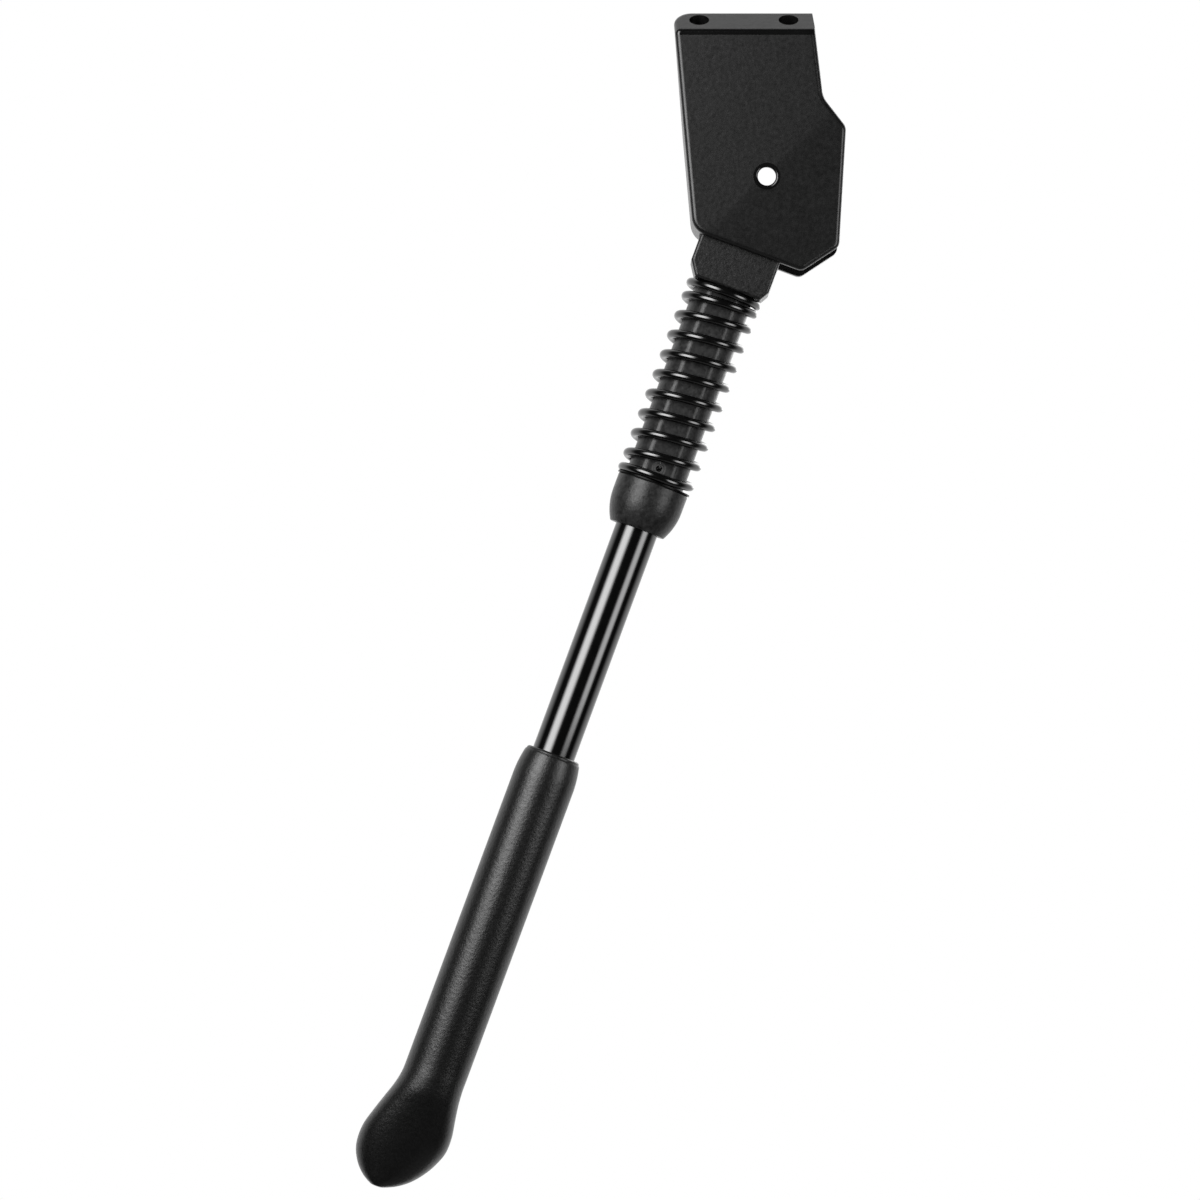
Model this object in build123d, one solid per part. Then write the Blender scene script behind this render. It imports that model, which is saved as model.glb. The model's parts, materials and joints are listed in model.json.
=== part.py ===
from build123d import *
import math
import os

# Bicycle kickstand. Millimetres. Origin at the middle of the two mounting holes, on the mount face.
# X is the side the leg folds to, Y runs along the pivot away from the viewer, Z is up.

# Mount face and its two screw holes
face_cant = 36.0
hole_spacing = 24.6
hole_diameter = 5.5
face_depth = 10.3
hole_from_front = 5.5
hole_right_margin = 7.25
hole_left_margin = 6.75

# Bracket walls
bracket_thickness = 26.0
cheek_wall = 3.0
web_wall = 4.5
spine_wall = 3.0
pivot_below_front_edge = 40.3
pivot_from_right_hole = 6.1

# Cheek outline, measured from the pivot
flat_distance = 21.0
lobe_reach = 18.0
heel_reach = 13.9
toe_reach = 15.0
waist_x = 15.5
waist_z = 21.9
heel_radius = 5.6
lobe_radius = 2.5
toe_radius = 3.0
waist_radius = 6.0
head_corner_radius = 5.0
head_edge_radius = 1.5
cheek_edge_radius = 1.4
lean_angle = 3.0
crease_angle = 44.0
crease_radius = 40.0

# Leg angles
rest_angle = 20.3
fold_angle = 107.0

# Pivot pin, a hollow pin seated in the near cheek and pressed into the far cheek
pin_diameter = 12.0
pin_bore = 10.0
pin_seat_depth = 1.2
peep_hole = 5.0
peep_rim_radius = 0.6
pin_running_clearance = 0.05

# Cam pads inside the cheeks
cam_flat = 9.6
cam_lobe = 12.0
cam_clearance = 0.4
eye_side_clearance = 0.2

# Stem
stem_diameter = 16.6
stem_flats = 14.8
stem_edge_radius = 2.5
shoulder_start = 89.5
shoulder_diameter = 20.1
shoulder_straight = 4.9
shoulder_length = 13.3
shoulder_end_diameter = 15.6
shoulder_lip = 0.6
socket_depth = 22.0

# Slider block
block_width = 23.2
block_end = 32.3
block_gap = 0.3
block_stem_clearance = 0.3
block_heel_chamfer = (2.6, 4.0)
block_toe_chamfer = (1.6, 2.8)
block_edge_radius = 0.9

# Spring and its washer
wire_diameter = 2.35
spring_stem_clearance = 0.25
active_turns = 8
lower_closed_turns = 0.3
upper_closed_turns = 0.5
end_coil_gap = 0.05
closing_rise = 1.6
washer_thickness = 0.4
washer_wall = 1.9
washer_clearance = 0.2

# Cross pin of the rod
roll_pin_diameter = 4.0
roll_pin_wall = 1.1
roll_pin_slot = 0.7
roll_pin_from_rod_end = 4.6

# Rod and foot sleeve
rod_diameter = 12.0
rod_end = 270.0
sleeve_start = 168.8
sleeve_diameter = 17.5
sleeve_mouth_diameter = 15.2
sleeve_lead = 8.5
sleeve_mouth_radius = 0.8
foot_start = 260.8
foot_flat_start = 6.0
foot_slope = 13.0
foot_edge_radius = 3.0

# Foot sections: distance past the foot's start, shift towards the heel, half width, half depth
foot_sections = [
    (4.0, 0.05, 8.8, 8.8),
    (8.0, 0.3, 9.35, 9.0),
    (12.4, 0.7, 10.4, 9.2),
    (17.0, 1.1, 11.5, 9.3),
    (21.5, 1.8, 12.05, 9.2),
    (25.6, 2.65, 11.4, 8.7),
    (29.0, 3.3, 10.05, 7.8),
    (32.2, 3.75, 7.8, 6.2),
    (34.6, 4.15, 5.0, 4.1),
    (36.1, 4.5, 2.0, 1.7),
]

# Worked out from the sizes above
half_thickness = bracket_thickness / 2
gap = bracket_thickness - 2 * cheek_wall
cant = math.radians(face_cant)
pivot_x = hole_spacing / 2 - pivot_from_right_hole
pivot_y = half_thickness - hole_from_front * math.cos(cant)
pivot_z = -pivot_below_front_edge - hole_from_front * math.sin(cant)
to_frame = Location((pivot_x, pivot_y, pivot_z))
to_leg = to_frame * Rotation(0, rest_angle, 0)
pad_height = (gap - stem_flats) / 2 - eye_side_clearance
block_depth = gap - 2 * block_gap
block_start = cam_lobe + cam_clearance
washer_start = shoulder_start - washer_thickness
stem_end = shoulder_start + shoulder_length
spring_length = washer_start - block_end
wire_radius = wire_diameter / 2
coil_radius = stem_diameter / 2 + spring_stem_clearance + wire_radius
rod_start = stem_end - socket_depth
roll_pin_at = rod_start + roll_pin_from_rod_end
reach = 4 * pivot_below_front_edge


def leg_direction(angle):
    """Down the leg when it stands at this angle from vertical."""
    turn = math.radians(angle)
    return Vector(-math.sin(turn), -math.cos(turn))


def cam_point(angle, distance, side):
    """Point on the flat that faces a leg at this angle, so far to the side of the leg's line."""
    turn = math.radians(angle)
    across = Vector(math.cos(turn), -math.sin(turn))
    return leg_direction(angle) * distance + across * side


def round_corner(face, point, radius):
    """Round the corner of a flat face that lies nearest to this point."""
    corner = face.vertices().sort_by_distance(point)[0]
    return fillet(corner, radius)


def write(node, shape):
    export_step(shape, f"parts/{node}.step")


def front_plane(offset):
    """Plane whose x and y are the part's X and Z, looking from the front, at this Y from the pivot."""
    return Plane(origin=(0, offset, 0), x_dir=(1, 0, 0), z_dir=(0, -1, 0))


def side_plane(offset):
    """Plane whose x and y are the part's Y and Z, at this X from the pivot."""
    return Plane(origin=(offset, 0, 0), x_dir=(0, 1, 0), z_dir=(1, 0, 0))


def cheek_outline():
    """Outline of both cheeks: two flats square to the leg, down and folded, and the lobe between them."""
    folded = rest_angle - fold_angle
    heel = cam_point(rest_angle, flat_distance, -heel_reach)
    lobe_low = cam_point(rest_angle, flat_distance, lobe_reach)
    lobe_high = cam_point(folded, flat_distance, -lobe_reach)
    toe = cam_point(folded, flat_distance, toe_reach)
    waist = Vector(waist_x, waist_z)
    right_x = pivot_to_right_edge()
    left_x = pivot_to_left_edge()
    top_right = edge_above(waist, right_x)
    top_left = edge_above(heel, left_x)
    face = make_face(Polyline(heel, lobe_low, lobe_high, toe, waist, top_right, top_left, close=True))
    face = round_corner(face, (heel.X, heel.Y, 0), heel_radius)
    face = round_corner(face, (lobe_low.X, lobe_low.Y, 0), lobe_radius)
    face = round_corner(face, (lobe_high.X, lobe_high.Y, 0), lobe_radius)
    face = round_corner(face, (toe.X, toe.Y, 0), toe_radius)
    return round_corner(face, (waist.X, waist.Y, 0), waist_radius)


def pivot_to_right_edge():
    """X of the bracket's right edge at the front of the mount face, from the pivot."""
    return pivot_from_right_hole + hole_right_margin


def pivot_to_left_edge():
    """X of the bracket's left edge at the front of the mount face, from the pivot."""
    return pivot_from_right_hole - hole_spacing - hole_left_margin


def edge_above(low, front_x):
    """Carry the edge from a low point through its place at the mount face's front, well above it."""
    high_z = 2 * pivot_below_front_edge
    slope = (front_x - low.X) / (pivot_below_front_edge - low.Y)
    return Vector(low.X + slope * (high_z - low.Y), high_z)


def side_outline():
    """Section across the bracket: front cheek, canted mount face, rear slope, far cheek."""
    front = Vector(-half_thickness, pivot_below_front_edge)
    back = front + Vector(math.cos(cant), math.sin(cant)) * face_depth
    slope_length = (half_thickness - back.X) / math.sin(cant)
    rear = back + Vector(math.sin(cant), -math.cos(cant)) * slope_length
    low_front = Vector(-half_thickness, -pivot_below_front_edge)
    low_rear = Vector(half_thickness, -pivot_below_front_edge)
    return make_face(Polyline(low_front, front, back, rear, low_rear, close=True))


def web_section():
    """Strip under the mount face that stays solid."""
    front = Vector(-half_thickness, pivot_below_front_edge)
    strip = Rectangle(reach, 2 * web_wall)
    return Location((front.X, front.Y, 0), (0, 0, face_cant)) * strip


def hollow():
    """Room between the cheeks, closed by the spine on the side away from the fold."""
    section = offset(side_outline(), -cheek_wall) - web_section()
    section += Pos(0, -pivot_below_front_edge) * Rectangle(gap, pivot_below_front_edge)
    room = extrude(side_plane(-reach) * section, 2 * reach)
    heel = cam_point(rest_angle, flat_distance, -heel_reach)
    top_left = edge_above(heel, pivot_to_left_edge())
    inward = Vector(spine_wall, 0)
    step = heel - top_left
    low = heel + step
    keep = make_face(Polyline(low + inward, Vector(reach, low.Y), Vector(reach, top_left.Y),
                              top_left + inward, close=True))
    room &= extrude(front_plane(half_thickness) * keep, bracket_thickness)
    return room + block_way()


def block_way():
    """Clear way for the block beside the spine, which the block lies against when the leg is down."""
    width = block_width + 2 * block_gap
    way = Box(width, gap, flat_distance, align=(Align.CENTER, Align.CENTER, Align.MAX))
    return Rotation(0, rest_angle, 0) * Pos(0, 0, -block_start + block_gap) * way


def cam_pad(side):
    """Pad round the pin on the inside of a cheek, with two flats that the block settles on."""
    pad = Circle(cam_lobe)
    for angle in (rest_angle, rest_angle - fold_angle):
        middle = leg_direction(angle) * (cam_flat + cam_lobe)
        pad -= Location((middle.X, middle.Y, 0), (0, 0, -angle)) * Rectangle(2 * cam_lobe, 2 * cam_lobe)
    inner = gap / 2 - pad_height
    start = gap / 2 if side > 0 else -inner
    return extrude(front_plane(start) * pad, pad_height)


def mount_holes():
    """Two screw holes square to the canted mount face."""
    face = Plane(origin=(0, 0, 0), x_dir=(1, 0, 0), z_dir=(0, -math.sin(cant), math.cos(cant)))
    hole = Cylinder(hole_diameter / 2, 3 * web_wall)
    holes = Pos(-hole_spacing / 2, 0, 0) * hole + Pos(hole_spacing / 2, 0, 0) * hole
    return to_frame.inverse() * face.location * holes


def facet_cut():
    """Room in front of the lower facet, which leans back from a soft crease through the pivot."""
    crease = math.radians(crease_angle)
    lean = math.radians(lean_angle)
    bend = crease_radius * math.tan(lean / 2)
    start = Vector(-bend, half_thickness)
    end = Vector(bend * math.cos(lean), half_thickness - bend * math.sin(lean))
    far = end + Vector(math.cos(lean), -math.sin(lean)) * reach
    ahead = 2 * half_thickness
    room = TangentArc(start, end, tangent=(1, 0))
    room += Polyline(end, far, (far.X, ahead), (start.X, ahead), start)
    across = (math.sin(crease), 0, -math.cos(crease))
    along = (-math.cos(crease), 0, -math.sin(crease))
    return extrude(Plane(origin=(0, 0, 0), x_dir=across, z_dir=along) * make_face(room), reach, both=True)


def pin_room():
    """Seat for the pin in the near cheek, its way out through the far cheek, and the hole in front."""
    seat = half_thickness - cheek_wall + pin_seat_depth
    room = extrude(front_plane(2 * half_thickness) * Circle(pin_diameter / 2), 2 * half_thickness + seat)
    return room + extrude(front_plane(0) * Circle(peep_hole / 2), 2 * half_thickness)


def front_edges(shape):
    """Outer edges of the near cheek's flat facet, soft crease and leaning facet."""
    facets = [face for face in shape.faces() if face.normal_at().Y < -math.cos(2 * math.radians(lean_angle))]
    facets = [face for face in facets if face.center().Y < -gap / 2 - cheek_wall / 4]
    edges = [edge for face in facets for edge in face.outer_wire().edges()]
    return [edge for edge in edges if edges.count(edge) == 1]


def head_corner(shape):
    """Edge at the rear of the head on the side away from the fold."""
    face_back = -half_thickness + face_depth * math.cos(cant)
    rear = [edge for edge in shape.edges() if edge.center().Y > face_back and edge.center().Z > 0]
    rear = [edge for edge in rear if abs(edge.tangent_at(0.5).Y) > math.sin(cant) / 2]
    return min(rear, key=lambda edge: edge.center().X)


def head_back_edges(shape):
    """Edge along the back of the mount face, with its rounded corner."""
    top = [face for face in shape.faces() if face.normal_at().Z > math.cos(1.2 * cant)]
    mount_face = max(top, key=lambda face: face.center().Z)
    behind = mount_face.center().Y + face_depth / 8
    return [edge for edge in mount_face.outer_wire().edges() if edge.center().Y > behind]


def peep_rim(shape):
    """Outer edge of the hole in the near cheek, an arc on each facet."""
    wall_middle = -half_thickness + (cheek_wall - pin_seat_depth) / 2
    edges = [edge for edge in shape.edges() if edge.center().Y < wall_middle]
    return [edge for edge in edges if math.hypot(edge.center().X, edge.center().Z) < peep_hole]


def make_bracket():
    body = extrude(front_plane(half_thickness) * cheek_outline(), bracket_thickness)
    body &= extrude(side_plane(-reach) * side_outline(), 2 * reach)
    body -= facet_cut()
    body = fillet(head_corner(body), head_corner_radius)
    body = fillet(head_back_edges(body), head_edge_radius)
    body = fillet(front_edges(body), cheek_edge_radius)
    body -= hollow()
    body += cam_pad(1) + cam_pad(-1)
    body -= pin_room()
    body = fillet(peep_rim(body), peep_rim_radius)
    body -= mount_holes()
    return to_frame * body


def make_pivot_pin():
    seat = half_thickness - cheek_wall + pin_seat_depth
    ring = Circle(pin_diameter / 2) - Circle(pin_bore / 2)
    return to_frame * extrude(front_plane(half_thickness) * ring, half_thickness + seat)


def stem_section(clearance=0.0):
    """Round bar with two flats, their edges rounded."""
    bar = Circle(stem_diameter / 2 + clearance) & Rectangle(2 * stem_diameter, stem_flats + 2 * clearance)
    return offset(offset(bar, -stem_edge_radius), stem_edge_radius)


def down_the_leg(distance):
    """Plane square to the leg, this far below the pivot, facing down the leg."""
    return Plane(origin=(0, 0, -distance), x_dir=(1, 0, 0), z_dir=(0, 0, -1))


def shoulder():
    """Barrel below the spring, straight at first and then drawn in towards the rod."""
    radius = shoulder_diameter / 2
    straight_end = shoulder_start + shoulder_straight
    top = Polyline((0, -shoulder_start), (radius, -shoulder_start), (radius, -straight_end))
    side = TangentArc((radius, -straight_end), (shoulder_end_diameter / 2, -stem_end), tangent=(0, -1))
    base = Polyline((shoulder_end_diameter / 2, -stem_end), (0, -stem_end), (0, -shoulder_start))
    half = make_face(top + side + base)
    half = round_corner(half, (radius, -shoulder_start, 0), shoulder_lip)
    return revolve(Plane.XZ * half, Axis.Z)


def across_leg(distance, radius, length):
    """Round bar along the pivot's direction, this far down the leg."""
    return extrude(front_plane(length / 2) * Pos(0, -distance) * Circle(radius), length)


def make_leg_stem():
    stem = extrude(down_the_leg(0) * stem_section(), shoulder_start)
    stem += across_leg(0, stem_diameter / 2, stem_flats)
    stem += shoulder()
    stem -= across_leg(0, pin_diameter / 2 + pin_running_clearance, 2 * stem_flats)
    stem -= extrude(down_the_leg(rod_start) * Circle(rod_diameter / 2), socket_depth)
    stem -= across_leg(roll_pin_at, roll_pin_diameter / 2, 2 * stem_flats)
    return to_leg * stem


def make_slider_block():
    """Sleeve on the stem that fits between the cheeks, with its lower corners cut off."""
    half = block_width / 2
    heel_across, heel_along = block_heel_chamfer
    toe_across, toe_along = block_toe_chamfer
    top = [(-half, -block_start), (half, -block_start)]
    toe = [(half, toe_along - block_end), (half - toe_across, -block_end)]
    heel = [(heel_across - half, -block_end), (-half, heel_along - block_end)]
    outline = make_face(Polyline(*top, *toe, *heel, close=True))
    block = extrude(front_plane(block_depth / 2) * outline, block_depth)
    ends = block.faces().filter_by(Axis.Y)
    block = fillet(ends.edges(), block_edge_radius)
    block -= extrude(down_the_leg(0) * stem_section(block_stem_clearance), shoulder_start)
    return to_leg * block


def spring_climbs():
    """Turns and climb of each stretch of the wire, from the closed part turn on the washer up."""
    clear_of_tip = wire_diameter + end_coil_gap
    closing_turn = [(0.5, closing_rise), (0.5, clear_of_tip)]
    active_height = spring_length - wire_diameter - 4 * end_coil_gap - 2 * (clear_of_tip + closing_rise)
    lower_end = [(lower_closed_turns, end_coil_gap)] + closing_turn
    upper_end = closing_turn + [(upper_closed_turns, end_coil_gap)]
    return lower_end + [(active_turns, active_height)] + upper_end


def make_spring():
    """Wire coil, closed at each end; the lower closed part ends on the side of the heel."""
    base = -washer_start + wire_radius + end_coil_gap
    turn = 180 - 360 * lower_closed_turns
    coils = []
    for turns, climb in spring_climbs():
        coils.append(Location((0, 0, base), (0, 0, turn)) * Helix(climb / turns, climb, coil_radius))
        base += climb
        turn += 360 * turns
    path = Wire([coil.edge() for coil in coils])
    section = Plane(origin=path @ 0, z_dir=path % 0) * Circle(wire_radius)
    return to_leg * sweep(section, path=path, is_frenet=True)


def make_spring_washer():
    inner = stem_diameter / 2 + washer_clearance
    ring = Circle(inner + washer_wall) - Circle(inner)
    return to_leg * extrude(down_the_leg(washer_start) * ring, washer_thickness)


def make_roll_pin():
    """Slotted spring pin, flush with the stem's flats."""
    radius = roll_pin_diameter / 2
    ring = Circle(radius) - Circle(radius - roll_pin_wall)
    ring -= Pos(0, -radius) * Rectangle(roll_pin_slot, 2 * radius)
    pin = extrude(front_plane(stem_flats / 2) * Pos(0, -roll_pin_at) * ring, stem_flats)
    return to_leg * pin


def make_leg_rod():
    rod = extrude(down_the_leg(rod_start) * Circle(rod_diameter / 2), rod_end - rod_start)
    rod -= across_leg(roll_pin_at, roll_pin_diameter / 2, 2 * rod_diameter)
    return to_leg * rod


def sleeve_tube():
    """Upper sleeve, turned, with a drawn-in mouth."""
    radius = sleeve_diameter / 2
    mouth = sleeve_mouth_diameter / 2
    lead_end = sleeve_start + sleeve_lead
    side = TangentArc((radius, -lead_end), (mouth, -sleeve_start), tangent=(0, 1))
    rest = Polyline((mouth, -sleeve_start), (0, -sleeve_start), (0, -foot_start), (radius, -foot_start),
                    (radius, -lead_end))
    half = make_face(side + rest)
    half = round_corner(half, (mouth, -sleeve_start, 0), sleeve_mouth_radius)
    return revolve(Plane.XZ * half, Axis.Z)


def foot_face(past_start, shift, half_width, half_depth):
    """Oval section of the foot."""
    plane = Plane(origin=(-shift, 0, -foot_start - past_start), x_dir=(1, 0, 0), z_dir=(0, 0, -1))
    return plane * Ellipse(half_width, half_depth)


def foot_flat():
    """Plane of the foot's flat front, which slopes back towards the tip."""
    slope = math.radians(foot_slope)
    origin = (0, -sleeve_diameter / 2, -foot_start - foot_flat_start)
    return Plane(origin=origin, x_dir=(1, 0, 0), z_dir=(0, -math.cos(slope), -math.sin(slope)))


def foot_flat_edges(shape):
    """Edges round the foot's flat front."""
    flat = min(shape.faces(), key=lambda face: (face.normal_at() - foot_flat().z_dir).length)
    return flat.outer_wire().edges()


def make_foot_sleeve():
    radius = sleeve_diameter / 2
    sections = [foot_face(0, 0, radius, radius)] + [foot_face(*row) for row in foot_sections]
    sleeve = sleeve_tube() + loft(sections)
    before_flat = Box(reach, reach, sleeve_diameter, align=(Align.CENTER, Align.CENTER, Align.MIN))
    sleeve -= foot_flat().location * before_flat
    sleeve = fillet(foot_flat_edges(sleeve), foot_edge_radius)
    sleeve -= extrude(down_the_leg(0) * Circle(rod_diameter / 2), rod_end)
    return to_leg * sleeve


def main():
    os.makedirs("parts", exist_ok=True)
    write("bracket", make_bracket())
    write("pivot_pin", make_pivot_pin())
    write("leg_stem", make_leg_stem())
    write("slider_block", make_slider_block())
    write("spring", make_spring())
    write("spring_washer", make_spring_washer())
    write("roll_pin", make_roll_pin())
    write("leg_rod", make_leg_rod())
    write("foot_sleeve", make_foot_sleeve())


if __name__ == "__main__":
    main()
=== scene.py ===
import json
import math

import bmesh
import bpy
from mathutils import Matrix, Vector


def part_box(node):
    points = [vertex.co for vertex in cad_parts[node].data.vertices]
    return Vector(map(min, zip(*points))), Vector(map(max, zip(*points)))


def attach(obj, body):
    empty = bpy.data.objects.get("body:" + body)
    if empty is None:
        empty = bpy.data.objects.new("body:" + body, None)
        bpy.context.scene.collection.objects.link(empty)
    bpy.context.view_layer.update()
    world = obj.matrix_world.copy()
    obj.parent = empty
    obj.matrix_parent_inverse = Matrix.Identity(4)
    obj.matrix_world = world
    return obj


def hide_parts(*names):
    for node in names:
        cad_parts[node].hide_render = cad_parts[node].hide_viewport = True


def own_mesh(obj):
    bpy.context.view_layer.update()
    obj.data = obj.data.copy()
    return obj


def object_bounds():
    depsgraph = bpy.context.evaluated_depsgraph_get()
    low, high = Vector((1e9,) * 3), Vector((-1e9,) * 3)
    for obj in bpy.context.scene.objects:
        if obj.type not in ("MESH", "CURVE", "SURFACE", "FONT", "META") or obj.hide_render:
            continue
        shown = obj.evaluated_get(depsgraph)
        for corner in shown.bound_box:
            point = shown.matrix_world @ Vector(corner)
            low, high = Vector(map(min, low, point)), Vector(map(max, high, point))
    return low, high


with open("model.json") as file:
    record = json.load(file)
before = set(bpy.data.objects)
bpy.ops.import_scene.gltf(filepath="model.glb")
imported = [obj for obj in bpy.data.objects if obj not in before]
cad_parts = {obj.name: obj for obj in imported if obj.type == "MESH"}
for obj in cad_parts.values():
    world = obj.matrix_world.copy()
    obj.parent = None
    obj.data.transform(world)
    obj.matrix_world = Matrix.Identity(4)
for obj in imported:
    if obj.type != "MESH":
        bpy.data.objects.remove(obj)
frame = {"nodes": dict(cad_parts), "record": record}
cad_low, cad_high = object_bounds()

# Places in metres and directions, from the frame's record; across is to the right, square to the leg
JOINTS = {joint["name"]: joint for joint in frame["record"]["behaviour"]["joints"]}
PIVOT = Vector(JOINTS["leg_swing"]["pos_m"])
DOWN = Vector(JOINTS["block_slide"]["axis"]).normalized()
FACE_AXIS = Vector(frame["record"]["mounts"][0]["axis"])
RIGHT = Vector((1, 0, 0))
BACK = Vector((0, 1, 0))
ACROSS = BACK.cross(DOWN).normalized() * -1
MM = 0.001


def leg_point(across, depth, along):
    """Point at these millimetres across, behind and down the leg, from the pivot."""
    return PIVOT + (ACROSS * across + BACK * depth + DOWN * along) * MM


# Objects
def add_object(name, data):
    """New object in the scene."""
    thing = bpy.data.objects.new(name, data)
    bpy.context.scene.collection.objects.link(thing)
    return thing


def add_shape(name, shape, material):
    """New object from a finished shape, in one material."""
    mesh = bpy.data.meshes.new(name)
    shape.to_mesh(mesh)
    shape.free()
    mesh.materials.append(material)
    return add_object(name, mesh)


# Shader nodes
NOISE_LOW = 0.3
NOISE_HIGH = 0.7
PLAIN_IOR = 1.5


def feed(tree, socket, value):
    """Link an output to a socket, or set a plain value on it."""
    if isinstance(value, bpy.types.NodeSocket):
        tree.links.new(value, socket)
    else:
        socket.default_value = value


def calculate(tree, kind, operation, *values):
    """Outputs of a math node, whose values are linked outputs or plain ones."""
    node = tree.nodes.new(kind)
    node.operation = operation
    for socket, value in zip(node.inputs, values):
        feed(tree, socket, value)
    return node.outputs


def smaller(tree, first, second):
    """The smaller of two numbers."""
    return calculate(tree, "ShaderNodeMath", "MINIMUM", first, second)["Value"]


def choose(tree, factor, first, second, kind="FLOAT"):
    """First value where the factor is 0, second value where it is 1."""
    node = tree.nodes.new("ShaderNodeMix")
    node.data_type = kind
    feed(tree, node.inputs["Factor"], factor)
    feed(tree, node.inputs["A"], first)
    feed(tree, node.inputs["B"], second)
    return node.outputs["Result"]


def spread(tree, value, low, high, from_low=NOISE_LOW, from_high=NOISE_HIGH, curve="LINEAR"):
    """Map a number from one range to another; without a first range, the one that noise mostly fills."""
    node = tree.nodes.new("ShaderNodeMapRange")
    node.interpolation_type = curve
    node.inputs["From Min"].default_value = from_low
    node.inputs["From Max"].default_value = from_high
    node.inputs["To Min"].default_value = low
    node.inputs["To Max"].default_value = high
    tree.links.new(value, node.inputs["Value"])
    return node.outputs["Result"]


def split_axes(tree, vector):
    """X, Y and Z of a vector."""
    node = tree.nodes.new("ShaderNodeSeparateXYZ")
    tree.links.new(vector, node.inputs["Vector"])
    return node.outputs


def object_coordinates(tree):
    """Place on the object, in its own coordinates."""
    return tree.nodes.new("ShaderNodeTexCoord").outputs["Object"]


def axis_distance(tree, point, axis):
    """Distance in metres from a line through a point."""
    away = calculate(tree, "ShaderNodeVectorMath", "SUBTRACT", object_coordinates(tree), point)
    square = calculate(tree, "ShaderNodeVectorMath", "CROSS_PRODUCT", away["Vector"], axis)
    return calculate(tree, "ShaderNodeVectorMath", "LENGTH", square["Vector"])["Value"]


def noise(tree, scale, detail, rough=0.5):
    """Noise in the object's own coordinates; scale is in cells per metre."""
    node = tree.nodes.new("ShaderNodeTexNoise")
    node.inputs["Scale"].default_value = scale
    node.inputs["Detail"].default_value = detail
    node.inputs["Roughness"].default_value = rough
    tree.links.new(object_coordinates(tree), node.inputs["Vector"])
    return node.outputs["Fac"]


def new_material(name, ior=PLAIN_IOR):
    """Material with a principled shader, its node tree and the shader."""
    material = bpy.data.materials.new(name)
    material.use_nodes = True
    tree = material.node_tree
    shader = tree.nodes["Principled BSDF"]
    shader.inputs["IOR"].default_value = ior
    return material, tree, shader


def tint(tree, shader, grain, dark, light):
    """Colour that varies between two greys with a noise."""
    share = spread(tree, grain, 0, 1)
    colour = choose(tree, share, (dark, dark, dark, 1.0), (light, light, light, 1.0), "RGBA")
    tree.links.new(colour, shader.inputs["Base Color"])


def sheen(tree, shader, grain, low, high):
    """Roughness that varies between two values with a noise."""
    tree.links.new(spread(tree, grain, low, high), shader.inputs["Roughness"])


def bump(tree, shader, grain, depth_mm, before=None):
    """Bump of a given depth in millimetres from a noise, on top of an earlier bump if there is one."""
    node = tree.nodes.new("ShaderNodeBump")
    node.inputs["Strength"].default_value = 1.0
    node.inputs["Distance"].default_value = depth_mm * MM
    tree.links.new(grain, node.inputs["Height"])
    if before is not None:
        tree.links.new(before, node.inputs["Normal"])
    tree.links.new(node.outputs["Normal"], shader.inputs["Normal"])
    return node.outputs["Normal"]


# Smoother paint, in metres: a ring round the hole in front of the pin, and a line along the front bend
SMOOTH = 0.12
FULLY_ROUGH = 1.0
RING_INSIDE = 3.6 * MM
RING_OUTSIDE = 4.3 * MM
BEND_BELOW_FACE = 0.5 * MM
BEND = Vector((0, cad_low.y, -cad_low.y * FACE_AXIS.y / FACE_AXIS.z - BEND_BELOW_FACE))
BEND_INSIDE = 0.8 * MM
BEND_OUTSIDE = 1.3 * MM


def satin_paint():
    """Satin black paint with a faint orange-peel texture, smoother round the hole and at the bend."""
    material, tree, shader = new_material("bracket_paint")
    tint(tree, shader, noise(tree, scale=160, detail=4), dark=0.0026, light=0.0040)
    rough = spread(tree, noise(tree, scale=900, detail=3), low=0.29, high=0.37)
    from_hole = axis_distance(tree, PIVOT, BACK)
    ring = spread(tree, from_hole, SMOOTH, FULLY_ROUGH, RING_INSIDE, RING_OUTSIDE)
    from_bend = axis_distance(tree, BEND, RIGHT)
    bend = spread(tree, from_bend, SMOOTH, FULLY_ROUGH, BEND_INSIDE, BEND_OUTSIDE)
    tree.links.new(smaller(tree, smaller(tree, rough, ring), bend), shader.inputs["Roughness"])
    peel = bump(tree, shader, noise(tree, scale=1000, detail=2), depth_mm=0.02)
    bump(tree, shader, noise(tree, scale=260, detail=3), depth_mm=0.04, before=peel)
    return material


# Even surfaces: how far the grey and the roughness vary, as shares of their values
DARKER = 0.85
LIGHTER = 1.15
GLOSSIER = 0.9
DULLER = 1.15


def even_surface(name, grey, rough, ior=PLAIN_IOR):
    """Dark surface with an even face, such as gloss paint or plain steel."""
    material, tree, shader = new_material(name, ior)
    tint(tree, shader, noise(tree, scale=300, detail=3), grey * DARKER, grey * LIGHTER)
    sheen(tree, shader, noise(tree, scale=500, detail=3), rough * GLOSSIER, rough * DULLER)
    return material


# Grained surfaces: cells per metre, depth in millimetres, and how far the roughness varies
FINE_GRAIN = 1300
SHEEN_GRAIN = FINE_GRAIN * 1.3
GRAIN_DEPTH = 0.05
MOTTLE_DEPTH = GRAIN_DEPTH * 1.5
SMOOTHER = 0.045
ROUGHER = 0.055


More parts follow.
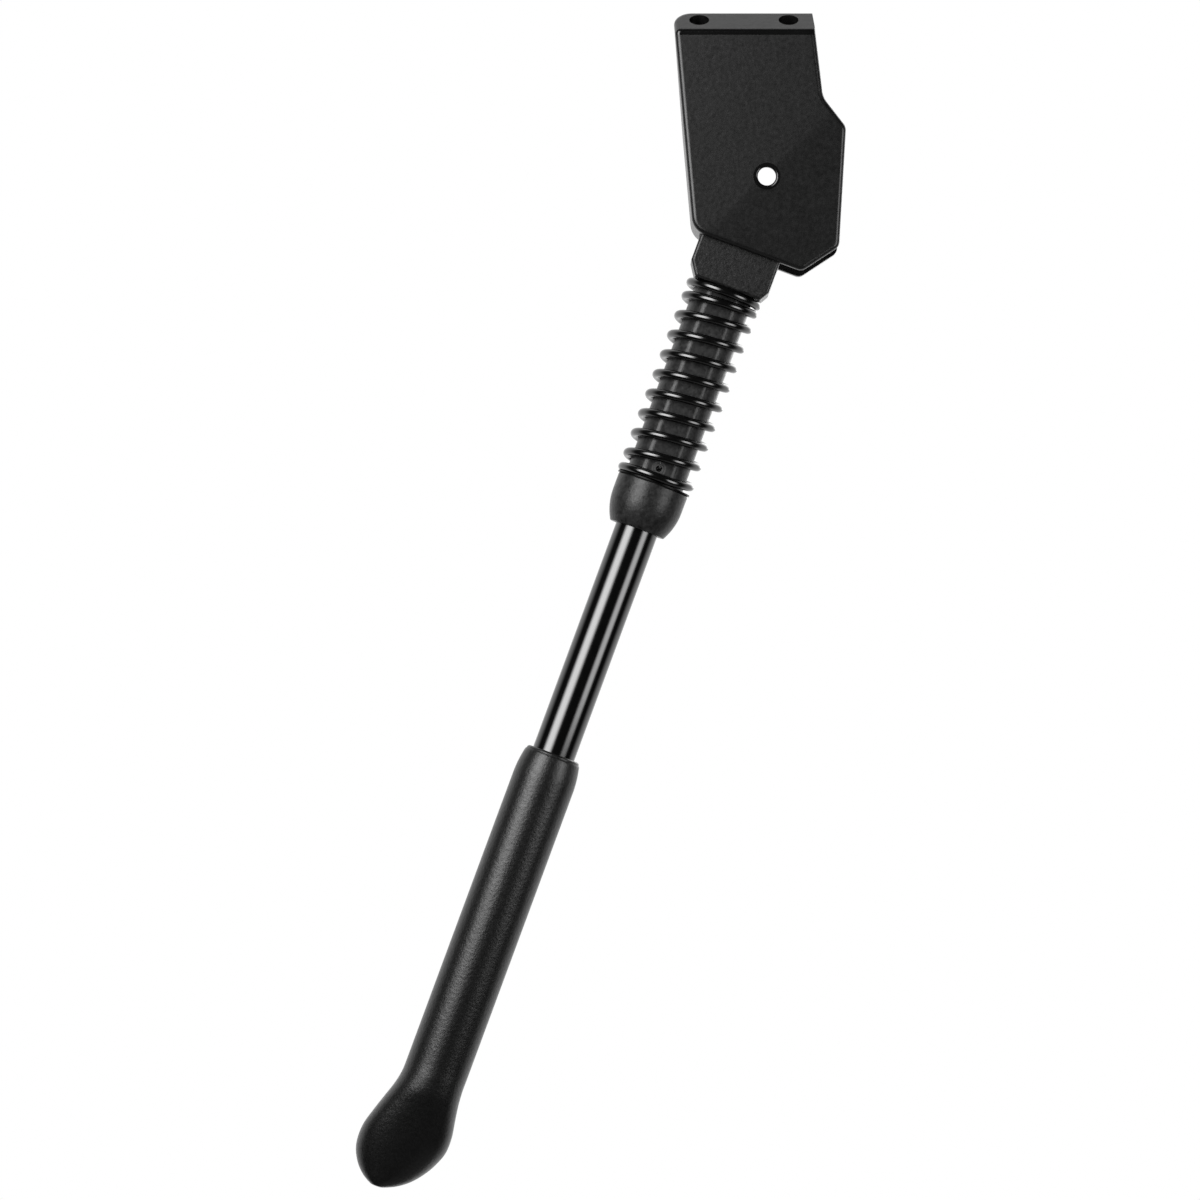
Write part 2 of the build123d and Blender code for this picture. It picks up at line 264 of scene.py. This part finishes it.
def grained_surface(name, dark, light, rough, coarse, ior=PLAIN_IOR):
    """Matte moulded or cast surface: mottled colour, with coarse and fine grain."""
    material, tree, shader = new_material(name, ior)
    mottle = noise(tree, coarse, detail=5, rough=0.62)
    tint(tree, shader, mottle, dark, light)
    sheen(tree, shader, noise(tree, SHEEN_GRAIN, detail=3), rough - SMOOTHER, rough + ROUGHER)
    first = bump(tree, shader, noise(tree, FINE_GRAIN, detail=3, rough=0.6), GRAIN_DEPTH)
    bump(tree, shader, mottle, MOTTLE_DEPTH, first)
    return material


PAINT = satin_paint()
ROD_GLOSS = even_surface("rod_paint", grey=0.0012, rough=0.12, ior=1.75)
SPRING_GLOSS = even_surface("spring_paint", grey=0.0012, rough=0.15, ior=1.75)
DARK_STEEL = even_surface("dark_steel", grey=0.006, rough=0.4)
WASHER_BLACK = even_surface("washer_paint", grey=0.0012, rough=0.3, ior=1.2)
ROLL_PIN_STEEL = even_surface("roll_pin_steel", grey=0.035, rough=0.4)
STEM_METAL = grained_surface("stem_metal", dark=0.003, light=0.026, rough=0.33, coarse=750, ior=1.38)
BLOCK_PLASTIC = grained_surface("block_plastic", dark=0.002, light=0.013, rough=0.34, coarse=750, ior=1.42)
RUBBER = grained_surface("foot_rubber", dark=0.003, light=0.006, rough=0.33, coarse=900)

# Finish of each CAD node
FINISHES = {
    "bracket": PAINT,
    "pivot_pin": DARK_STEEL,
    "leg_stem": STEM_METAL,
    "slider_block": BLOCK_PLASTIC,
    "spring": SPRING_GLOSS,
    "spring_washer": WASHER_BLACK,
    "roll_pin": ROLL_PIN_STEEL,
    "leg_rod": ROD_GLOSS,
    "foot_sleeve": RUBBER,
}
for node, material in FINISHES.items():
    mesh = frame["nodes"][node].data
    mesh.materials.clear()
    mesh.materials.append(material)


# Pieces that take the place of CAD nodes
def skin(shape, rings):
    """Smooth faces between neighbouring rings, and a cap on each end."""
    for lower, upper in zip(rings, rings[1:]):
        for side in range(len(lower)):
            following = (side + 1) % len(lower)
            face = shape.faces.new((lower[side], lower[following], upper[following], upper[side]))
            face.smooth = True
    shape.faces.new(rings[0])
    shape.faces.new(rings[-1])
    bmesh.ops.recalc_face_normals(shape, faces=shape.faces)


# Spring: millimetres and turns, as in the part but for the lowest turn, which lies flat in front
WIRE_RADIUS = 1.175
COIL_RADIUS = 9.725
SPRING_TOP = 32.3
SPRING_FOOT = 89.1
WIRE_TIP = 0.3
LOWER_CLOSED_TURNS = 0.525
OPENING_TURNS = 0.675
ACTIVE_TURNS = 8
UPPER_CLOSED_TURNS = 0.5
END_COIL_GAP = 0.05
CLOSING_RISE = 1.6
HALF_TURN = 0.5
STEPS_PER_TURN = 72
WIRE_SIDES = 20


def spring_climbs():
    """Turns and climb of each stretch of the wire, from the closed part turn on the washer up."""
    clear_of_tip = 2 * WIRE_RADIUS + END_COIL_GAP
    opening_turn = [(OPENING_TURNS, clear_of_tip + CLOSING_RISE)]
    closing_turn = [(HALF_TURN, CLOSING_RISE), (HALF_TURN, clear_of_tip)]
    closed = 2 * WIRE_RADIUS + 4 * END_COIL_GAP + 2 * (clear_of_tip + CLOSING_RISE)
    active = SPRING_FOOT - SPRING_TOP - closed
    lower_end = [(LOWER_CLOSED_TURNS, END_COIL_GAP)] + opening_turn
    upper_end = closing_turn + [(UPPER_CLOSED_TURNS, END_COIL_GAP)]
    return lower_end + [(ACTIVE_TURNS, active)] + upper_end


def wire_line():
    """Turn and height above the spring's foot of each point along the middle of the wire."""
    turn = 2 * math.pi * WIRE_TIP
    height = WIRE_RADIUS + END_COIL_GAP
    points = [(turn, height)]
    for turns, climb in spring_climbs():
        steps = round(turns * STEPS_PER_TURN)
        for step in range(steps):
            turn += 2 * math.pi * turns / steps
            height += climb / steps
            points.append((turn, height))
    return points


def wire_ring(shape, turn, height, slope):
    """Ring of vertices round the wire at one point, square to it."""
    outward = ACROSS * math.cos(turn) + BACK * math.sin(turn)
    onward = BACK * math.cos(turn) - ACROSS * math.sin(turn) - DOWN * slope
    over = onward.normalized().cross(outward)
    middle = leg_point(0, 0, SPRING_FOOT - height) + outward * COIL_RADIUS * MM
    ring = []
    for side in range(WIRE_SIDES):
        angle = 2 * math.pi * side / WIRE_SIDES
        offset = outward * math.cos(angle) + over * math.sin(angle)
        ring.append(shape.verts.new(middle + offset * WIRE_RADIUS * MM))
    return ring


def wind_spring():
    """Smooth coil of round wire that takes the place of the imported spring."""
    points = wire_line()
    shape = bmesh.new()
    rings = []
    for index, (turn, height) in enumerate(points):
        before = points[max(index - 1, 0)]
        after = points[min(index + 1, len(points) - 1)]
        slope = (after[1] - before[1]) / (after[0] - before[0]) / COIL_RADIUS
        rings.append(wire_ring(shape, turn, height, slope))
    skin(shape, rings)
    coil = add_shape("spring_coil", shape, SPRING_GLOSS)
    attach(coil, "leg")
    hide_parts("spring")
    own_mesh(coil)


wind_spring()

# Cross pin, rolled from one strip: millimetres and turns, with its seam on top
PIN_RADIUS = 2.0
PIN_STRIP = 0.52
PIN_PITCH = 0.62
PIN_TURNS = 2.1
PIN_STEPS = 210
PIN_SEAM = -math.pi / 2
SEAM_START = 0.96


def strip_radius(turns):
    """Outer radius of the pin's strip: it keeps its radius for most of a turn, then steps in."""
    whole = math.floor(turns)
    step = max(turns - whole - SEAM_START, 0) / (1 - SEAM_START)
    return PIN_RADIUS - PIN_PITCH * (whole + step)


def pin_ring(shape, turns, low, high):
    """Section of the pin's strip at one turn: four corners, at the front end and the back end."""
    angle = PIN_SEAM + 2 * math.pi * turns
    outward = ACROSS * math.cos(angle) + DOWN * math.sin(angle)
    outer = strip_radius(turns)
    inner = outer - PIN_STRIP
    ring = []
    for radius, depth in ((outer, low.y), (outer, high.y), (inner, high.y), (inner, low.y)):
        point = (low + high) / 2 + outward * radius * MM
        point.y = depth
        ring.append(shape.verts.new(point))
    return ring


def roll_cross_pin():
    """Coiled pin with flat shading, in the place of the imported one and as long."""
    low, high = (Vector(corner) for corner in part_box("roll_pin"))
    shape = bmesh.new()
    skin(shape, [pin_ring(shape, PIN_TURNS * step / PIN_STEPS, low, high) for step in range(PIN_STEPS + 1)])
    for face in shape.faces:
        face.smooth = False
    pin = add_shape("coiled_pin", shape, ROLL_PIN_STEEL)
    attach(pin, "leg")
    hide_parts("roll_pin")


roll_cross_pin()

# Rubber sleeve and foot: millimetres, as in the part but for the front; the seat is a share of the half depth
ROD_RADIUS = 6.0
ROD_END = 270.0
SLEEVE_START = 168.8
SLEEVE_RADIUS = 8.75
SLEEVE_MOUTH = 7.6
SLEEVE_LEAD = 8.5
MOUTH_ROUNDING = 0.8
MOUTH_GAP = 0.1
FOOT_START = 260.8
FOOT_FLAT_START = 6.0
FOOT_SLOPE = math.radians(13)
FOOT_BULGE = 0.25
DEEPEST_SEAT = 0.55
ROUND = 2.0
RING_SIDES = 128
MOUTH_STEPS = 8
LEAD_STEPS = 24
SLEEVE_STEPS = 40
STEPS_PER_ROW = 10

# Foot rows: distance past the foot's start, shift to the heel, half width, half depth, flatness of the front
FOOT_ROWS = [
    (-4.0, 0.0, 8.75, 8.75, 2.0),
    (0.0, 0.0, 8.75, 8.75, 2.0),
    (4.0, 0.05, 8.8, 8.8, 2.05),
    (8.0, 0.3, 9.35, 9.0, 2.15),
    (12.4, 0.7, 10.4, 9.2, 2.3),
    (17.0, 1.1, 11.5, 9.3, 2.4),
    (21.5, 1.8, 12.05, 9.2, 2.4),
    (25.6, 2.65, 11.4, 8.7, 2.4),
    (29.0, 3.3, 10.05, 7.8, 2.3),
    (32.2, 3.75, 7.8, 6.2, 2.2),
    (34.6, 4.15, 5.0, 4.1, 2.1),
    (36.1, 4.5, 2.0, 1.7, 2.0),
    (36.3, 4.6, 0.6, 0.5, 2.0),
]


def mouth_rows():
    """Place and radius of rows from the bore's end, up the bore and out over the rounded mouth."""
    rows = [
        (ROD_END, ROD_RADIUS),
        (SLEEVE_START + MOUTH_ROUNDING, ROD_RADIUS),
        (SLEEVE_START, ROD_RADIUS + MOUTH_GAP),
    ]
    for step in range(MOUTH_STEPS + 1):
        turn = math.pi / 2 * step / MOUTH_STEPS
        along = SLEEVE_START + MOUTH_ROUNDING * (1 - math.cos(turn))
        rows.append((along, SLEEVE_MOUTH - MOUTH_ROUNDING * (1 - math.sin(turn))))
    return rows


def lead_rows():
    """Place and radius of rows where the sleeve swells, in an arc, from its mouth to its full size."""
    rise = SLEEVE_RADIUS - SLEEVE_MOUTH
    arc = (SLEEVE_LEAD ** 2 + rise ** 2) / (2 * rise)
    rows = []
    for step in range(1, LEAD_STEPS + 1):
        along = MOUTH_ROUNDING + (SLEEVE_LEAD - MOUTH_ROUNDING) * step / LEAD_STEPS
        drop = arc - math.sqrt(arc ** 2 - (SLEEVE_LEAD - along) ** 2)
        rows.append((SLEEVE_START + along, SLEEVE_RADIUS - drop))
    return rows


def sleeve_rows():
    """Rows of the round sleeve from its bore's end, out over the mouth and down to the foot."""
    start = SLEEVE_START + SLEEVE_LEAD
    length = FOOT_START + FOOT_ROWS[0][0] - start
    rows = mouth_rows() + lead_rows()
    rows += [(start + length * step / SLEEVE_STEPS, SLEEVE_RADIUS) for step in range(1, SLEEVE_STEPS)]
    return [(along, 0.0, 0.0, radius, radius, radius, ROUND) for along, radius in rows]


def between(before, low, high, after, share):
    """Smooth curve through four values, at a share of the way from the second to the third."""
    slope_low = (high - before) / 2
    slope_high = (after - low) / 2
    rest = 1 - share
    level = low * (1 + 2 * share) * rest ** 2 + high * share ** 2 * (3 - 2 * share)
    return level + slope_low * share * rest ** 2 - slope_high * share ** 2 * rest


def foot_row(past, shift, half_width, half_depth, flatness):
    """Row of the foot: its front lies on the sloping flat, and its widest line moves back with the slope."""
    slope = math.tan(FOOT_SLOPE)
    flat = SLEEVE_RADIUS + FOOT_BULGE - (past - FOOT_FLAT_START) * slope
    front = min(half_depth, flat)
    seat = min(max(past - FOOT_FLAT_START, 0.0) * slope, half_depth * DEEPEST_SEAT)
    return FOOT_START + past, shift, seat, half_width, front + seat, half_depth - seat, flatness


def foot_rows():
    """Rows of the foot, curved smoothly between the given ones."""
    rows = [foot_row(*row) for row in FOOT_ROWS]
    padded = [rows[0]] + rows + [rows[-1]]
    smooth = []
    for before, low, high, after in zip(padded, padded[1:], padded[2:], padded[3:]):
        for step in range(STEPS_PER_ROW):
            share = step / STEPS_PER_ROW
            smooth.append(tuple(between(*values, share) for values in zip(before, low, high, after)))
    return smooth + [rows[-1]]


def sleeve_ring(shape, along, shift, seat, half_width, front, behind, flatness):
    """Ring round the sleeve: an oval behind and a flattened oval in front."""
    ring = []
    for side in range(RING_SIDES):
        turn = 2 * math.pi * side / RING_SIDES
        power = 2 / flatness if math.sin(turn) < 0 else 1.0
        depth = front if math.sin(turn) < 0 else behind
        across = math.copysign(abs(math.cos(turn)) ** power, math.cos(turn)) * half_width
        back = math.copysign(abs(math.sin(turn)) ** power, math.sin(turn)) * depth
        ring.append(shape.verts.new(leg_point(across - shift, seat + back, along)))
    return ring


def mould_foot():
    """Rubber sleeve that swells into a foot with a sloping, rounded front."""
    shape = bmesh.new()
    skin(shape, [sleeve_ring(shape, *row) for row in sleeve_rows() + foot_rows()])
    foot = add_shape("foot_rubber", shape, RUBBER)
    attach(foot, "leg")
    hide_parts("foot_sleeve")


mould_foot()

# Soft boxes, in metres: two beside the camera, one overhead and one behind; soft edges as shares of a side
BOX_DISTANCE = 0.55
BOX_MIDDLE = 0.5
SOFT_SIDES = 0.4
SOFT_ENDS = 0.07


def fade(tree, place, edge):
    """Brightness that falls off towards both edges of a box."""
    away = calculate(tree, "ShaderNodeMath", "SUBTRACT", place, BOX_MIDDLE)["Value"]
    distance = calculate(tree, "ShaderNodeMath", "ABSOLUTE", away)["Value"]
    return spread(tree, distance, 1.0, 0.0, BOX_MIDDLE - edge, BOX_MIDDLE, "SMOOTHSTEP")


def soften(lamp):
    """Bright middle and soft sides, as of a cloth box."""
    lamp.use_nodes = True
    tree = lamp.node_tree
    place = split_axes(tree, tree.nodes.new("ShaderNodeNewGeometry").outputs["Parametric"])
    sides = fade(tree, place["X"], SOFT_SIDES)
    ends = fade(tree, place["Y"], SOFT_ENDS)
    both = calculate(tree, "ShaderNodeMath", "MULTIPLY", sides, ends)["Value"]
    tree.links.new(both, tree.nodes["Emission"].inputs["Strength"])


def soft_box(name, target, direction, width, length, lengthwise, radiance):
    """Area lamp that faces the target from a direction, with its length along another one."""
    lamp = bpy.data.lights.new(name, "AREA")
    soften(lamp)
    lamp.shape = "RECTANGLE"
    lamp.size = width
    lamp.size_y = length
    lamp.energy = radiance * width * length * math.pi
    back = direction.normalized()
    side = lengthwise.cross(back).normalized()
    up = back.cross(side).normalized()
    turn = Matrix((side, up, back)).transposed().to_4x4()
    box = add_object(name, lamp)
    box.matrix_world = Matrix.Translation(target + back * BOX_DISTANCE) @ turn
    box.visible_camera = False


def beside(angle):
    """Direction that lies this many degrees to the right of the camera, square to the leg."""
    turn = math.radians(angle)
    return ACROSS * math.sin(turn) - BACK * math.cos(turn)


soft_box("left_box", leg_point(0, 0, -22), beside(-38.5),
         width=0.585, length=0.56, lengthwise=DOWN, radiance=8.5)
soft_box("right_box", leg_point(0, 0, -40), beside(51),
         width=0.42, length=0.42, lengthwise=DOWN, radiance=4.8)
soft_box("top_box", Vector((0, 0, 0)), Vector((0.0, 0.35, 1.0)),
         width=0.9, length=0.7, lengthwise=BACK, radiance=0.25)
soft_box("rear_box", leg_point(0, 0, 135), Vector((0.6, 1.0, 0.5)),
         width=0.5, length=0.5, lengthwise=DOWN, radiance=2.0)

# World: brightness to the camera, to soft light, and to reflections from in front and from behind
SEEN = 1.0
AMBIENT = 0.12
REFLECTED_FRONT = 0.02
REFLECTED_BEHIND = 1.0
FULLY_BEHIND = 0.5


def light_world():
    """White to the camera; behind the object also white in reflections, and dim elsewhere."""
    world = bpy.data.worlds.new("studio")
    bpy.context.scene.world = world
    world.use_nodes = True
    tree = world.node_tree
    path = tree.nodes.new("ShaderNodeLightPath").outputs
    direction = split_axes(tree, tree.nodes.new("ShaderNodeTexCoord").outputs["Generated"])
    reflected = spread(tree, direction["Y"], REFLECTED_FRONT, REFLECTED_BEHIND,
                       from_low=0.0, from_high=FULLY_BEHIND, curve="SMOOTHSTEP")
    unseen = choose(tree, path["Is Glossy Ray"], AMBIENT, reflected)
    background = tree.nodes["Background"]
    background.inputs["Color"].default_value = (1, 1, 1, 1)
    tree.links.new(choose(tree, path["Is Camera Ray"], unseen, SEEN), background.inputs["Strength"])


light_world()

# Floor, in metres
FLOOR_RADIUS = 0.9
FLOOR_BELOW = 1.0
FLOOR_SIDES = 96
FLOOR_GREY = 0.8
FLOOR_ROUGHNESS = 0.9


def floor_white():
    """Pale matte material that looks white to the camera."""
    material, tree, shader = new_material("floor_white")
    shader.inputs["Base Color"].default_value = (FLOOR_GREY, FLOOR_GREY, FLOOR_GREY, 1)
    shader.inputs["Roughness"].default_value = FLOOR_ROUGHNESS
    glow = tree.nodes.new("ShaderNodeEmission")
    path = tree.nodes.new("ShaderNodeLightPath")
    mixed = tree.nodes.new("ShaderNodeMixShader")
    tree.links.new(path.outputs["Is Camera Ray"], mixed.inputs["Fac"])
    tree.links.new(shader.outputs["BSDF"], mixed.inputs[1])
    tree.links.new(glow.outputs["Emission"], mixed.inputs[2])
    tree.links.new(mixed.outputs["Shader"], tree.nodes["Material Output"].inputs["Surface"])
    return material


def lay_floor():
    """Round pale floor, well below the foot."""
    shape = bmesh.new()
    bmesh.ops.create_circle(shape, cap_ends=True, segments=FLOOR_SIDES, radius=FLOOR_RADIUS)
    floor = add_shape("floor", shape, floor_white())
    middle = (cad_low + cad_high) / 2
    floor.location = (middle.x, middle.y, cad_low.z - FLOOR_BELOW)


lay_floor()

# Camera: long lens, nearly along the pivot, looking slightly up
CAMERA_FROM_PIVOT = Vector((-45.8, -2000.0, -188.4)) * MM
CAMERA_LEVEL = 90.0
CAMERA_PITCH = 2.075
CAMERA_REACH = 50.0
FOCAL_PIXELS = 7260.0
PHOTO_PIXELS = 1200.0
SENSOR = 36.0


def set_camera():
    """Camera at the photo's viewing angle."""
    lens = bpy.data.cameras.new("photo_camera")
    lens.sensor_width = SENSOR
    lens.lens = FOCAL_PIXELS / PHOTO_PIXELS * SENSOR
    lens.clip_end = CAMERA_REACH
    camera = add_object("photo_camera", lens)
    camera.location = PIVOT + CAMERA_FROM_PIVOT
    camera.rotation_euler = (math.radians(CAMERA_LEVEL + CAMERA_PITCH), 0, 0)
    bpy.context.scene.camera = camera


set_camera()
bpy.context.scene.view_settings.view_transform = "Standard"
